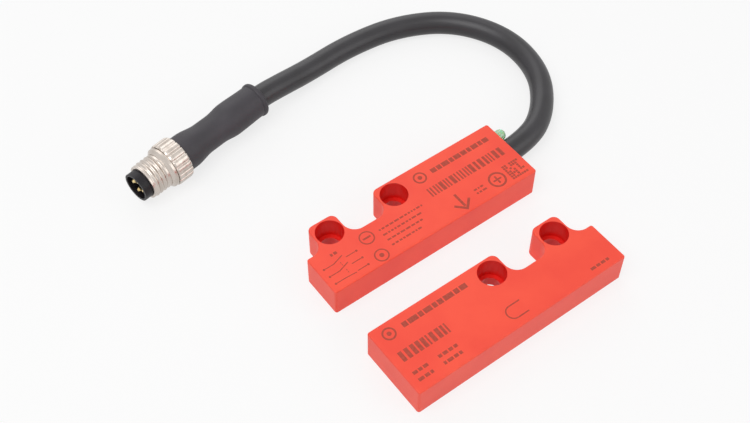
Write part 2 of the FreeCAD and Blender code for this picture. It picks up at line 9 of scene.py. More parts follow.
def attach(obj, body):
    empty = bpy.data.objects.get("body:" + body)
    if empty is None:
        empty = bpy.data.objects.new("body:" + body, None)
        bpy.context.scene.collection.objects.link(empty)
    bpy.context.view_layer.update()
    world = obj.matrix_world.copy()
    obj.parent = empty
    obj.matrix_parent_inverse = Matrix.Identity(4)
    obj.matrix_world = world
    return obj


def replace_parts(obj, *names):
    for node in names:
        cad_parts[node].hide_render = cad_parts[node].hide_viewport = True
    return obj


# Non-contact safety switch: a red sensor block with cable and round plug, and its magnet block.
# Blender's meshes are in metres in the part's own frame. The dictionaries hold millimetres,
# apart from the stage's.

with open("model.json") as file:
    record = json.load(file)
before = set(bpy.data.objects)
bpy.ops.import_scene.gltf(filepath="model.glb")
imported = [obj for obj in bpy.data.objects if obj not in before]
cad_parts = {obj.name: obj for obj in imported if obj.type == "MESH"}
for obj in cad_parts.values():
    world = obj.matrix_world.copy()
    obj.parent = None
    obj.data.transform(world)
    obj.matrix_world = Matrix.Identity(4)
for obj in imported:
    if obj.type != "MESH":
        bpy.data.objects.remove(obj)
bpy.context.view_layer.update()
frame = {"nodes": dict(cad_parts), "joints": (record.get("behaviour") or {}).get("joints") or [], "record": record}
nodes = frame["nodes"]
mm = 0.001
setBody, ringBody = "switch_set", "plug_ring"

# The plug's own axes come from the coupling ring's joint. Lengths along it start at the
# front of the contact carrier, and the joint sits this far behind that.
plug = {"jointAlong": 7.5}
ringJoint = frame["joints"][0]
plugAxis = Vector(ringJoint["axis"]).normalized()
plugFront = Vector(ringJoint["pos_m"]) - plugAxis * plug["jointAlong"] * mm
plugSide = Vector((0, 0, 1)).cross(plugAxis)
plugAxes = Matrix((plugAxis, plugSide, (0, 0, 1))).transposed()
plugPlace = Matrix.Translation(plugFront) @ plugAxes.to_4x4()
plugTurn = math.atan2(plugAxis.y, plugAxis.x)


# sRGB hex to Blender's linear colour
def linearColour(hexText):
    parts = [int(hexText[k:k + 2], 16) / 255 for k in (1, 3, 5)]
    return [p / 12.92 if p <= 0.04045 else ((p + 0.055) / 1.055) ** 2.4 for p in parts] + [1.0]


# One node with its attributes, values and links. A link is named for its socket, with _ for a
# space, or i3 for the fourth one; its value is a number, a colour or another node's output.
def addNode(tree, kind, settings=None, **links):
    node = tree.nodes.new(kind)
    for name, value in (settings or {}).items():
        setattr(node, name, value)
    for name, value in links.items():
        index = int(name[1:]) if name[0] == "i" and name[1:].isdigit() else name.replace("_", " ")
        if isinstance(value, bpy.types.NodeSocket):
            tree.links.new(value, node.inputs[index])
        else:
            node.inputs[index].default_value = value
    return node


# Finishes, each named for the real material. cloudMm is the size of the soft mottling in the
# colour, grainMm that of the fine texture in gloss and relief, and along makes both that many
# times finer along the plug's axis, as turning does.
finishes = {
    # glass-filled polyester from a spark-eroded mould: strong satin red, which the fine
    # texture pales a little; on the walls of the screw bores a deeper red is painted in as shade.
    # The real texture is about 0.06 mm, and is drawn coarser so that it shows.
    "moulded_red_polyester": {
        "dark": "#F64934", "light": "#FC5239", "cloudMm": 9, "grainMm": 0.22,
        "rough": 0.46, "spread": 0.05, "bump": 0.12,
        "paintedBoreShade": "#E81E14", "boreRadius": 2.97, "boreFoot": 0.05,
        "bores": [(-8, 0), (8, 0), (11.5, -26.7), (27.5, -26.7)],
    },
    # laser marking burns the red to a flat brown-red, duller than the plastic round it
    "laser_burnt_polyester": {
        "dark": "#A5402F", "light": "#B84A38", "cloudMm": 0.5, "grainMm": 0.1,
        "rough": 0.72, "spread": 0.06, "bump": 0.2,
    },
    # cast epoxy: near black and glossy, with faint flow marks
    "cast_black_epoxy": {
        "dark": "#17171A", "light": "#232327", "cloudMm": 4, "grainMm": 1.6,
        "rough": 0.22, "spread": 0.05, "bump": 0.3,
    },
    # glass-fibre laminate under screen-printed solder mask: glossy green over a faint weave,
    # whose real 0.15 mm threads are drawn twice as coarse so that they show
    "green_solder_mask": {
        "dark": "#0F4A24", "light": "#1C6B36", "cloudMm": 1.5, "grainMm": 0.3,
        "rough": 0.3, "spread": 0.05, "bump": 0.15,
    },
    # drawn soda-lime tube: clear with a trace of green, and very smooth
    "clear_reed_glass": {
        "dark": "#D8EAE2", "light": "#E6F4EE", "cloudMm": 3, "grainMm": 0.8,
        "rough": 0.08, "spread": 0.02, "bump": 0.05,
        "shader": {"Transmission Weight": 0.85, "IOR": 1.5},
    },
    # sintered alumina chip under a printed glaze: dark, dull and slightly speckled
    "chip_ceramic": {
        "dark": "#1E1E22", "light": "#34343A", "cloudMm": 0.6, "grainMm": 0.1,
        "rough": 0.5, "spread": 0.05, "bump": 0.15,
    },
    # moulded tinted polycarbonate lens: pale green, glossy, lets some light through
    "green_polycarbonate": {
        "dark": "#B2E6B8", "light": "#CBF2CF", "cloudMm": 2, "grainMm": 0.6,
        "rough": 0.1, "spread": 0.03, "bump": 0.05,
        "shader": {
            "Transmission Weight": 0.4, "IOR": 1.55,
            "Subsurface Weight": 0.5, "Subsurface Scale": 0.001,
        },
    },
    # extruded PVC over each core: earthy brown with the soft shine of a drawn skin
    "pvc_core_insulation": {
        "dark": "#6E5A48", "light": "#84705C", "cloudMm": 2, "grainMm": 0.2,
        "rough": 0.35, "spread": 0.05, "bump": 0.15,
    },
    # extruded polyurethane jacket: dark grey, with a soft broad sheen along its length
    "polyurethane_jacket": {
        "dark": "#262427", "light": "#2E2C30", "cloudMm": 7, "grainMm": 0.2,
        "rough": 0.37, "spread": 0.05, "bump": 0.12,
    },
    # moulded grip of the same polyurethane, duller from its mould's texture, whose real
    # 0.08 mm is drawn coarser so that it shows
    "moulded_polyurethane": {
        "dark": "#302D32", "light": "#39353B", "cloudMm": 6, "grainMm": 0.22,
        "rough": 0.54, "spread": 0.05, "bump": 0.22,
    },
    # moulded glass-filled nylon: the blackest of the plastics, dry and a little streaky
    "black_glass_filled_nylon": {
        "dark": "#121014", "light": "#1B171D", "cloudMm": 3, "grainMm": 0.15,
        "rough": 0.42, "spread": 0.05, "bump": 0.15, "shader": {"Specular IOR Level": 0.3},
    },
    # nickel on turned brass: warm pale grey, satin, with soft rings from turning, whose real
    # feed of 0.05 mm is drawn at 0.1 mm, a quarter of the grain, so that they show
    "turned_nickel_plate": {
        "dark": "#BDB3AA", "light": "#CDC4BC", "cloudMm": 4.0, "grainMm": 0.4, "along": 4,
        "rough": 0.3, "spread": 0.04, "bump": 0.03, "shader": {"Metallic": 1.0},
    },
    # flash of gold over turned brass: pale warm yellow, bright but not polished
    "gold_plated_brass": {
        "dark": "#C4A66C", "light": "#DCC590", "cloudMm": 1.5, "grainMm": 0.4,
        "rough": 0.22, "spread": 0.04, "bump": 0.1, "shader": {"Metallic": 1.0},
    },
    # drawn nickel-iron wire with a thin plating: cool grey metal with a silky shine
    "plated_nickel_iron_wire": {
        "dark": "#A9A6A2", "light": "#C9C6C2", "cloudMm": 1.5, "grainMm": 0.3,
        "rough": 0.3, "spread": 0.05, "bump": 0.1, "shader": {"Metallic": 1.0},
    },
    # drawn copper wire dipped in tin: whiter than the reed wire, softly uneven from the dip
    "tinned_copper_wire": {
        "dark": "#B9B7B4", "light": "#D6D4D0", "cloudMm": 1.5, "grainMm": 0.3,
        "rough": 0.35, "spread": 0.05, "bump": 0.1, "shader": {"Metallic": 1.0},
    },
    # sintered magnet under nickel: greyer than the ring and slightly dimpled
    "nickel_plated_magnet": {
        "dark": "#9C9C9F", "light": "#BDBDC0", "cloudMm": 1.5, "grainMm": 0.5,
        "rough": 0.3, "spread": 0.05, "bump": 0.2, "shader": {"Metallic": 1.0},
    },
}


def newMaterial(name):
    material = bpy.data.materials.new(name)
    material.use_nodes = True
    tree = material.node_tree
    tree.nodes.clear()
    shader = addNode(tree, "ShaderNodeBsdfPrincipled")
    addNode(tree, "ShaderNodeOutputMaterial", Surface=shader.outputs[0])
    return material, tree, shader


# 1 on the walls of the screw bores, which stand upright on the given places, and 0 elsewhere: the mask of the
# shade painted into the bores
def boreShadeMask(tree, place, look):
    flat = addNode(
        tree, "ShaderNodeVectorMath", {"operation": "MULTIPLY"}, i0=place, i1=(1, 1, 0)
    ).outputs[0]
    nearest = None
    for x, y in look["bores"]:
        away = addNode(
            tree, "ShaderNodeVectorMath", {"operation": "DISTANCE"}, i0=flat, i1=(x * mm, y * mm, 0)
        ).outputs["Value"]
        if nearest:
            away = addNode(
                tree, "ShaderNodeMath", {"operation": "MINIMUM"}, i0=nearest, i1=away
            ).outputs[0]
        nearest = away
    within = addNode(
        tree, "ShaderNodeMath", {"operation": "LESS_THAN"}, i0=nearest, i1=look["boreRadius"] * mm
    ).outputs[0]
    height = addNode(tree, "ShaderNodeSeparateXYZ", Vector=place).outputs["Z"]
    above = addNode(
        tree, "ShaderNodeMath", {"operation": "GREATER_THAN"}, i0=height, i1=look["boreFoot"] * mm
    ).outputs[0]
    return addNode(tree, "ShaderNodeMath", {"operation": "MULTIPLY"}, i0=within, i1=above).outputs[0]


# Where noise values mostly lie, for the mottling and the grain, how many layers each has, and
# the height of the relief as a share of the grain's size
noise = {
    "cloud": (0.35, 0.65), "cloudDetail": 3.0, "grain": (0.3, 0.7), "grainDetail": 2.0, "relief": 0.2,
}


def makeFinish(name, look):
    material, tree, shader = newMaterial(name)
    place = addNode(tree, "ShaderNodeTexCoord").outputs["Object"]
    if "along" in look:
        # squeezed along the plug's axis
        place = addNode(
            tree, "ShaderNodeMapping", {"vector_type": "TEXTURE"}, Vector=place,
            Location=plugFront, Rotation=(0, 0, plugTurn), Scale=(1 / look["along"], 1, 1),
        ).outputs[0]
    cloud = addNode(
        tree, "ShaderNodeTexNoise", Vector=place,
        Scale=1 / (look["cloudMm"] * mm), Detail=noise["cloudDetail"],
    )
    share = addNode(
        tree, "ShaderNodeMapRange", i0=cloud.outputs[0], i1=noise["cloud"][0], i2=noise["cloud"][1],
    )
    colour = addNode(
        tree, "ShaderNodeMix", {"data_type": "RGBA"}, i0=share.outputs[0],
        i6=linearColour(look["dark"]), i7=linearColour(look["light"]),
    )
    # painted shade: the bore walls get a deeper red in place of the shade that falls in them
    if "bores" in look:
        colour = addNode(
            tree, "ShaderNodeMix", {"data_type": "RGBA"}, i0=boreShadeMask(tree, place, look),
            i6=colour.outputs[2], i7=linearColour(look["paintedBoreShade"]),
        )
    tree.links.new(colour.outputs[2], shader.inputs["Base Color"])
    grain = addNode(
        tree, "ShaderNodeTexNoise", Vector=place,
        Scale=1 / (look["grainMm"] * mm), Detail=noise["grainDetail"],
    )
    rough = addNode(
        tree, "ShaderNodeMapRange", i0=grain.outputs[0], i1=noise["grain"][0], i2=noise["grain"][1],
        i3=look["rough"] - look["spread"], i4=look["rough"] + look["spread"],
    )
    tree.links.new(rough.outputs[0], shader.inputs["Roughness"])
    relief = addNode(
        tree, "ShaderNodeBump", Strength=look["bump"], Height=grain.outputs[0],
        Distance=look["grainMm"] * noise["relief"] * mm,
    )
    tree.links.new(relief.outputs[0], shader.inputs["Normal"])
    for socket, value in look.get("shader", {}).items():
        shader.inputs[socket].default_value = value
    return material


finish = {name: makeFinish(name, look) for name, look in finishes.items()}
print("finishes", len(finish))

# The record's material slots and the finish of each
slotFinish = {
    "red_plastic": "moulded_red_polyester", "resin": "cast_black_epoxy",
    "board": "green_solder_mask", "reed_glass": "clear_reed_glass",
    "reed_metal": "plated_nickel_iron_wire", "chip_ceramic": "chip_ceramic",
    "lamp_lens": "green_polycarbonate", "wire_lead": "tinned_copper_wire",
    "core_insulation": "pvc_core_insulation", "cable_jacket": "polyurethane_jacket",
    "grip_rubber": "moulded_polyurethane", "carrier_plastic": "black_glass_filled_nylon",
    "contact_gold": "gold_plated_brass", "ring_nickel": "turned_nickel_plate",
    "magnet": "nickel_plated_magnet",
}
for part in frame["record"]["subparts"]:
    nodeSlots = nodes[part["node"]].data.materials
    nodeSlots.clear()
    nodeSlots.append(finish[slotFinish[part["material_slot"]]])
print("CAD nodes dressed", len(nodes))


# Put a finished mesh into the scene as a piece of the part that rides on its body
def meshPiece(name, mesh, slotName, body, finishName=None):
    piece = bpy.data.objects.new(name, mesh)
    bpy.context.scene.collection.objects.link(piece)
    mesh.materials.clear()
    mesh.materials.append(finish[finishName or slotFinish[slotName]])
    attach(piece, body)
    return piece


# Merge doubles, turn the faces outwards and keep the creases sharp
def closeMesh(shape, name, smoothAngle=35):
    bmesh.ops.remove_doubles(shape, verts=shape.verts, dist=1e-7)
    bmesh.ops.recalc_face_normals(shape, faces=shape.faces)
    for face in shape.faces:
        face.smooth = True
    for edge in shape.edges:
        edge.smooth = edge.is_manifold and edge.calc_face_angle(0) < math.radians(smoothAngle)
    mesh = bpy.data.meshes.new(name)
    shape.to_mesh(mesh)
    shape.free()
    return mesh


# A closed solid turned about +X from corners (along, radius). radiusAt may change a corner's
# radius as it goes round.
def turnedShape(profile, steps, radiusAt=None):
    shape = bmesh.new()
    rings = []
    for along, radius in profile:
        ring = []
        for k in range(steps):
            turn = 2 * math.pi * k / steps
            r = radiusAt(along, radius, turn) if radiusAt else radius
            ring.append(shape.verts.new((along * mm, r * math.cos(turn) * mm, r * math.sin(turn) * mm)))
        rings.append(ring)
    for now, then in zip(rings, rings[1:] + rings[:1]):
        for k in range(steps):
            shape.faces.new((now[k], now[(k + 1) % steps], then[(k + 1) % steps], then[k]))
    return shape


# Cable: the control points are the route points of the CAD tube, moved a little to follow the
# photograph
cable = {
    "diameter": 5.2, "length": 114.3, "exit": (35.5, -3.0, 3.3), "steps": 16, "rounding": 12,
    "route": [
        (32.5, -3.0, 3.3), (42.0, -3.0, 3.3), (51.1, 2.2, 2.65), (58.1, 11.7, 2.65),
        (59.2, 24.4, 2.65), (52.8, 36.0, 2.65), (41.0, 42.4, 2.65), (28.0, 43.9, 2.65),
        (15.9, 42.65, 2.95), (7.6, 41.4, 4.4), (1.9, 40.782, 4.9), (-3.388, 39.811, 4.9),
    ],
}


def buildCable():
    curve = bpy.data.curves.new("cableJacket", "CURVE")
    curve.dimensions = "3D"
    spline = curve.splines.new("NURBS")
    spline.points.add(len(cable["route"]) - 1)
    for point, spot in zip(spline.points, cable["route"]):
        point.co = [c * mm for c in spot] + [1.0]
    spline.order_u = 3
    spline.use_endpoint_u = True
    spline.resolution_u = cable["steps"]
    curve.bevel_depth = cable["diameter"] / 2 * mm
    curve.bevel_resolution = cable["rounding"]
    curve.use_fill_caps = True
    curve.materials.append(finish["polyurethane_jacket"])
    piece = bpy.data.objects.new("cableJacket", curve)
    bpy.context.scene.collection.objects.link(piece)
    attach(piece, setBody)
    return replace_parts(piece, "cable")


cableJacket = buildCable()
print("cable")


# Grip: a waisted sleeve with a rolled rim, and a lip round the cable inside the rim
grip = {
    "start": 11.75, "edge": 0.15, "stem": 2.9,
    "waisted": [(13.65, 4.05), (18.65, 3.45), (21.85, 3.45), (26.05, 3.9), (33.15, 3.74)],
    "rimEnd": 34.25, "rimFoot": 3.74, "rim": 4.0,
    "end": [(34.28, 3.5), (34.2, 3.3), (34.5, 3.08), (34.74, 2.86), (34.8, 2.66)],
    "bore": 2.57, "boreEnd": 18.2, "lip": 0.1,
    "blendSteps": 9, "steps": 96,
}


def gripProfile():
    front, edge = grip["start"], grip["edge"]
    profile = [
        (front, grip["stem"]), (front, grip["waisted"][0][1] - edge),
        (front + edge, grip["waisted"][0][1]),
    ]
    # each stretch of the sleeve leaves and arrives level, so that the waist has no corners
    for (along, radius), (nextAlong, nextRadius) in zip(grip["waisted"], grip["waisted"][1:]):
        for k in range(grip["blendSteps"]):
            share = k / grip["blendSteps"]
            level = (1 - math.cos(math.pi * share)) / 2
            profile.append((
                along + (nextAlong - along) * share, radius + (nextRadius - radius) * level,
            ))
    # the rim is half an ellipse
    rimStart = grip["waisted"][-1][0]
    for k in range(grip["blendSteps"] + 1):
        turn = math.pi * k / grip["blendSteps"]
        profile.append((
            (rimStart + grip["rimEnd"]) / 2 - (grip["rimEnd"] - rimStart) / 2 * math.cos(turn),
            grip["rimFoot"] + (grip["rim"] - grip["rimFoot"]) * math.sin(turn),
        ))
    profile += grip["end"]
    profile += [(grip["end"][-1][0] - grip["lip"], grip["bore"]), (grip["boreEnd"], grip["bore"])]
    return profile + [(grip["boreEnd"], grip["stem"])]


def buildGrip():
    mesh = closeMesh(turnedShape(gripProfile(), grip["steps"]), "gripSleeve")
    mesh.transform(plugPlace)
    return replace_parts(meshPiece("gripSleeve", mesh, "grip_rubber", setBody), "plug_grip")


gripSleeve = buildGrip()
print("grip")


# Coupling ring: threaded sleeve, plain collar and straight-knurled band, in one piece
ring = {
    "threadStart": 1.9, "threadEnd": 6.3, "crest": 4.0, "root": 3.72, "front": 3.84, "pitch": 1.0,
    "leadIn": 1.0, "runOut": 0.7, "neck": 3.92,
    "undercut": 3.82, "collarStart": 6.5, "collar": 4.65, "collarSlope": 0.7,
    "grooveStart": 7.72, "groove": 4.42, "knurlStart": 7.9, "knurl": 4.9, "knurlFloor": 4.66,
    "end": 11.6, "bore": 3.35, "relief": 3.68, "reliefStart": 7.84,
    "fade": 0.2, "frontStep": 0.1, "grooveSlant": 0.03, "chamfer": 0.2,
    "ridges": 18, "ridgeShare": 0.8, "ridgeInset": 0.02, "steps": 144, "rowsPerPitch": 12,
    # a ridge across as shares of its width and height, and its height along its length
    "ridgeAcross": [
        (-0.5, -0.3), (-0.44, 0.5), (-0.3, 0.88), (0, 1.0), (0.3, 0.88), (0.44, 0.5), (0.5, -0.3),
    ],
    "ridgeAlong": [(0, 0.3), (0.06, 0.85), (0.12, 1.0), (0.9, 1.0), (0.96, 0.85), (1, 0.4)],
}


# The thread is a soft wave that moves on one pitch per turn. It grows out of a plain lead-in
# and, at its end, runs out into a plain neck.
def threadRadius(along, radius, turn):
    start, stop = ring["threadStart"], ring["threadEnd"]
    if not start < along < stop or radius < ring["root"]:
        return radius
    phase = (along / ring["pitch"] + turn / (2 * math.pi)) % 1
    wave = 0.5 - 0.5 * math.cos(2 * math.pi * phase)
    grown = min(1, (along - start) / ring["leadIn"])
    foot = ring["front"] + (ring["root"] - ring["front"]) * grown
    thread = foot + (ring["crest"] - foot) * wave * grown
    neckStart = stop - ring["runOut"] + ring["pitch"] / 2 * (turn / (2 * math.pi))
    ending = min(1, max(0, (along - neckStart) / ring["fade"]))
    return thread + (ring["neck"] - thread) * ending


def ringProfile():
    rows = round((ring["threadEnd"] - ring["threadStart"]) / ring["pitch"] * ring["rowsPerPitch"])
    step = (ring["threadEnd"] - ring["threadStart"]) / rows
    collar, slope, groove = ring["collar"], ring["collarSlope"], ring["groove"]
    slant, chamfer = ring["grooveSlant"], ring["chamfer"]
    profile = [
        (ring["threadStart"], ring["bore"]), (ring["threadStart"], ring["front"] - ring["frontStep"])
    ]
    profile += [(ring["threadStart"] + step * (k + 0.5), ring["crest"]) for k in range(rows)]
    return profile + [
        (ring["threadEnd"], ring["undercut"]), (ring["collarStart"], ring["undercut"]),
        (ring["collarStart"], collar - slope), (ring["collarStart"] + slope, collar),
        (ring["grooveStart"], collar), (ring["grooveStart"] + slant, groove),
        (ring["knurlStart"], groove), (ring["knurlStart"] + slant, ring["knurlFloor"]),
        (ring["end"] - chamfer, ring["knurlFloor"]), (ring["end"], ring["knurlFloor"] - chamfer),
        (ring["end"], ring["relief"]), (ring["reliefStart"], ring["relief"]),
        (ring["reliefStart"], ring["bore"]),
    ]


# One ridge of the knurl along X, its foot at z = 0: crowned across, sloping at both ends
def ridgeMesh():
    length = (ring["end"] - ring["knurlStart"] - 2 * ring["ridgeInset"]) * mm
    width = 2 * math.pi * ring["knurl"] / ring["ridges"] * ring["ridgeShare"] * mm
    height = (ring["knurl"] - ring["knurlFloor"]) * mm
    shape = bmesh.new()
    rows = [
        [
            shape.verts.new((x * length, y * width, z * height * (share if z > 0 else 1)))
            for y, z in ring["ridgeAcross"]
        ]
        for x, share in ring["ridgeAlong"]
    ]
    for now, then in zip(rows, rows[1:]):
        for k in range(len(now)):
            j = (k + 1) % len(now)
            shape.faces.new((now[k], now[j], then[j], then[k]))
    shape.faces.new(rows[0])
    shape.faces.new(rows[-1][::-1])
    return closeMesh(shape, "knurlRidge", 50)


# Geometry Nodes: copies of one object, set round the X axis
def roundTree(name):
    tree = bpy.data.node_groups.new(name, "GeometryNodeTree")
    tree.interface.new_socket("Geometry", in_out="INPUT", socket_type="NodeSocketGeometry")
    tree.interface.new_socket("Geometry", in_out="OUTPUT", socket_type="NodeSocketGeometry")
    for label, kind in (
        ("Copies", "NodeSocketInt"), ("Radius", "NodeSocketFloat"), ("Start", "NodeSocketFloat"),
        ("Copied", "NodeSocketObject"), ("Finish", "NodeSocketMaterial"),
    ):
        tree.interface.new_socket(label, in_out="INPUT", socket_type=kind)
    given = addNode(tree, "NodeGroupInput").outputs
    circle = addNode(tree, "GeometryNodeMeshCircle", Vertices=given["Copies"], Radius=given["Radius"])
    # the circle lies in XY and is stood up so that X is its axis
    stand = addNode(tree, "FunctionNodeEulerToRotation", Euler=(math.pi / 2, 0, math.pi / 2))
    stood = addNode(
        tree, "GeometryNodeTransform", Geometry=circle.outputs[0], Rotation=stand.outputs[0]
    )
    spot = addNode(tree, "GeometryNodeInputPosition").outputs[0]
    facing = addNode(
        tree, "FunctionNodeAxesToRotation", {"primary_axis": "Z", "secondary_axis": "X"},
        Primary_Axis=spot, Secondary_Axis=(1, 0, 0),
    )
    copied = addNode(tree, "GeometryNodeObjectInfo", Object=given["Copied"])
    copies = addNode(
        tree, "GeometryNodeInstanceOnPoints", Points=stood.outputs[0],
        Instance=copied.outputs["Geometry"], Rotation=facing.outputs[0],
    )
    shift = addNode(tree, "ShaderNodeCombineXYZ", X=given["Start"])
    moved = addNode(
        tree, "GeometryNodeTransform", Geometry=copies.outputs[0], Translation=shift.outputs[0]
    )
    real = addNode(tree, "GeometryNodeRealizeInstances", Geometry=moved.outputs[0])
    painted = addNode(
        tree, "GeometryNodeSetMaterial", Geometry=real.outputs[0], Material=given["Finish"]
    )
    addNode(tree, "NodeGroupOutput", Geometry=painted.outputs[0])
    return tree


# Run a node tree on an empty mesh and keep the result as a plain mesh
def runTree(tree, name, values):
    holder = bpy.data.objects.new(name, bpy.data.meshes.new(name))
    bpy.context.scene.collection.objects.link(holder)
    modifier = holder.modifiers.new(name, "NODES")
    modifier.node_group = tree
    for item in tree.interface.items_tree:
        if item.in_out == "INPUT" and item.name in values:
            modifier[item.identifier] = values[item.name]
    graph = bpy.context.evaluated_depsgraph_get()
    mesh = bpy.data.meshes.new_from_object(holder.evaluated_get(graph))
    holder.modifiers.remove(modifier)
    bpy.data.objects.remove(holder)
    return mesh


def buildRing():
    core = closeMesh(turnedShape(ringProfile(), ring["steps"], threadRadius), "ringCore")
    ridge = bpy.data.objects.new("knurlRidge", ridgeMesh())
    knurl = runTree(roundTree("knurlRound"), "knurlRidges", {
        "Copies": ring["ridges"], "Radius": ring["knurlFloor"] * mm,
        "Start": (ring["knurlStart"] + ring["ridgeInset"]) * mm,
        "Copied": ridge, "Finish": finish["turned_nickel_plate"],
    })
    joined = bmesh.new()
    joined.from_mesh(core)
    joined.from_mesh(knurl)
    for face in joined.faces:
        face.material_index = 0
    mesh = bpy.data.meshes.new("couplingRing")
    joined.to_mesh(mesh)
    joined.free()
    mesh.transform(plugPlace)
    bpy.data.objects.remove(ridge)
    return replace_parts(meshPiece("couplingRing", mesh, "ring_nickel", ringBody), "coupling_ring")


couplingRing = buildRing()
print("coupling ring", len(couplingRing.data.polygons))


# Laser marks in plain technical shapes. Each stroke is a pair of edges, left and right, in
# millimetres from its block's front left corner, and becomes a thin closed solid.
marks = {
    "top": 7.0, "proud": 0.012, "sunk": 0.05,
    "fine": 0.2, "medium": 0.28, "bold": 0.45, "gap": 0.3,
    "bands": (0.35, 0.35, 0.6, 0.85), "bandGaps": (0.35, 0.5), "arcStep": 10, "targetDisc": 0.38,
}


def bar(x, y, width, height):
    return [([(x, y), (x + width, y)], [(x, y + height), (x + width, y + height)], False)]


# A line through corners, mitred so that nothing overlaps. A sharp mitre is cut off at 0.3.
def line(points, width):
    left, right = [], []
    for k, here in enumerate(points):
        before = Vector(points[max(k - 1, 0)])
        after = Vector(points[min(k + 1, len(points) - 1)])
        arriving = (Vector(here) - before).normalized() if k > 0 else (after - before).normalized()
        leaving = (after - Vector(here)).normalized() if k < len(points) - 1 else arriving
        ahead = (arriving + leaving).normalized()
        half = width / 2 / max(0.3, ahead.dot(arriving))
        side = Vector((-ahead.y, ahead.x)) * half
        left.append(tuple(Vector(here) + side))
        right.append(tuple(Vector(here) - side))
    return [(left, right, False)]


def circle(x, y, radius, width, start=0, end=360):
    closed = end - start >= 360
    count = max(8, round((end - start) / marks["arcStep"]))
    turns = [math.radians(start + (end - start) * k / count) for k in range(count + (not closed))]
    edges = [
        [(x + r * math.cos(t), y + r * math.sin(t)) for t in turns]
        for r in (radius + width / 2, radius - width / 2)
    ]
    return [(edges[0], edges[1], closed)]


# A filled disc, as a strip between its upper and lower half, from 6 to 174 degrees
def disc(x, y, radius):
    turns = [math.radians(6 + 168 * k / 12) for k in range(13)]
    return [(
        [(x + radius * math.cos(t), y + radius * math.sin(t)) for t in turns],
        [(x + radius * math.cos(t), y - radius * math.sin(t)) for t in turns], False,
    )]


# A row of short bars of uneven length in place of small print, the same on each run
def printRow(x, y, width, height, longest, chance):
    strokes = []
    along = x
    while along < x + width - height:
        length = min(chance.uniform(height * 0.7, longest), x + width - along)
        strokes += bar(along, y, length, height)
        along += length + marks["gap"]
    return strokes


# A band of upright strokes of uneven width
def strokeBand(x, y, width, height, chance):
    strokes = []
    along = x
    while along < x + width:
        thick = chance.choice(marks["bands"])
        strokes += bar(along, y, thick, height)
        along += thick + chance.choice(marks["bandGaps"])
    return strokes


# A square field of small squares, about half of them filled
def dotField(x, y, count, cell, chance):
    strokes = []
    for row in range(count):
        for column in range(count):
            if row == 0 or column == 0 or chance.random() < 0.5:
                strokes += bar(x + column * cell, y + row * cell, cell * 0.8, cell * 0.8)
    return strokes


# A round target that shows where the block senses
def target(x, y, radius):
    return circle(x, y, radius, marks["bold"] * 0.8) + disc(x, y, radius * marks["targetDisc"])


# One contact of a diagram: a lead and a blade that stands off by gap, then the other lead
def contact(x, y, gap):
    return (
        line([(x, y), (x + 2, y), (x + 4.5, y + gap)], marks["fine"])
        + line([(x + 4.9, y), (x + 7.1, y)], marks["fine"])
        + disc(x - 0.3, y, 0.25) + disc(x + 7.4, y, 0.25)
    )


def markPiece(name, plan):
    corner = plan["corner"]
    chance = random.Random(plan["seed"])
    strokes = []
    for draw, *sizes in plan["marks"]:
        if draw in (printRow, strokeBand, dotField):
            sizes.append(chance)
        strokes += draw(*sizes)
    shape = bmesh.new()
    levels = (marks["top"] + marks["proud"], marks["top"] - marks["sunk"])
    for left, right, closed in strokes:
        frames = []
        for (lx, ly), (rx, ry) in zip(left, right):
            loop = ((lx, ly, levels[0]), (rx, ry, levels[0]), (rx, ry, levels[1]), (lx, ly, levels[1]))
            frames.append([
                shape.verts.new(((corner[0] + x) * mm, (corner[1] + y) * mm, z * mm))
                for x, y, z in loop
            ])
        following = frames[1:] + frames[:1] if closed else frames[1:]
        for now, then in zip(frames, following):
            for k in range(4):
                j = (k + 1) % 4
                shape.faces.new((now[k], now[j], then[j], then[k]))
        if not closed:
            shape.faces.new(frames[0][::-1])
            shape.faces.new(frames[-1])
    mesh = closeMesh(shape, name)
    return meshPiece(name, mesh, "red_plastic", setBody, "laser_burnt_polyester")


# The marks of each block: what is drawn, its place and its sizes in millimetres
sensorPrint = {
    "corner": (-15.5, -12.5), "seed": 7,
    "marks": [
        (target, 30.4, 12.8, 1.3),
        (printRow, 33.3, 12.2, 16.2, 1.15, 2.2),
        (strokeBand, 29.5, 7.3, 19.6, 2.3),
        # sensing direction: an arrow towards the block's long side
        (line, [(31.4, 2.8), (33.3, 0.9), (35.2, 2.8)], 0.55), (line, [(33.3, 5.2), (33.3, 1.6)], 0.55),
        (printRow, 37.2, 3.4, 3.0, 0.42, 1.0), (printRow, 37.2, 2.4, 2.6, 0.42, 1.0),
        # a ring with a cross, as on the head of its screws, and a field of squares
        (circle, 42.9, 3.0, 1.75, marks["bold"]), (bar, 41.9, 2.8, 2.0, 0.4),
        (bar, 42.7, 2.0, 0.4, 0.75), (bar, 42.7, 3.25, 0.4, 0.75),
        (dotField, 45.6, 1.0, 7, 0.6),
        # small print in rows that get shorter
        *[(printRow, 15.6, 6.8 - row * 1.45, 11.2 - row * 1.1, 0.4, 1.1) for row in range(4)],
        # two round marks: a ring with a bar, and a ring with a dot
        (circle, 12.6, 7.0, 1.5, marks["medium"]), (bar, 11.7, 6.8, 1.8, 0.42),
        (circle, 12.5, 1.9, 1.4, marks["medium"]), (disc, 12.5, 1.9, 0.5),
        (printRow, 4.3, 7.4, 1.9, 0.65, 0.9),
        # contact diagram: two opening contacts and one closing contact on a dashed link
        (contact, 1.7, 5.7, 0.8), (contact, 1.7, 3.7, 0.8), (contact, 1.7, 1.7, -0.15),
        *[(bar, 4.9, y, 0.14, 0.35) for y in (2.4, 2.95, 4.4, 4.95)],
    ],
}
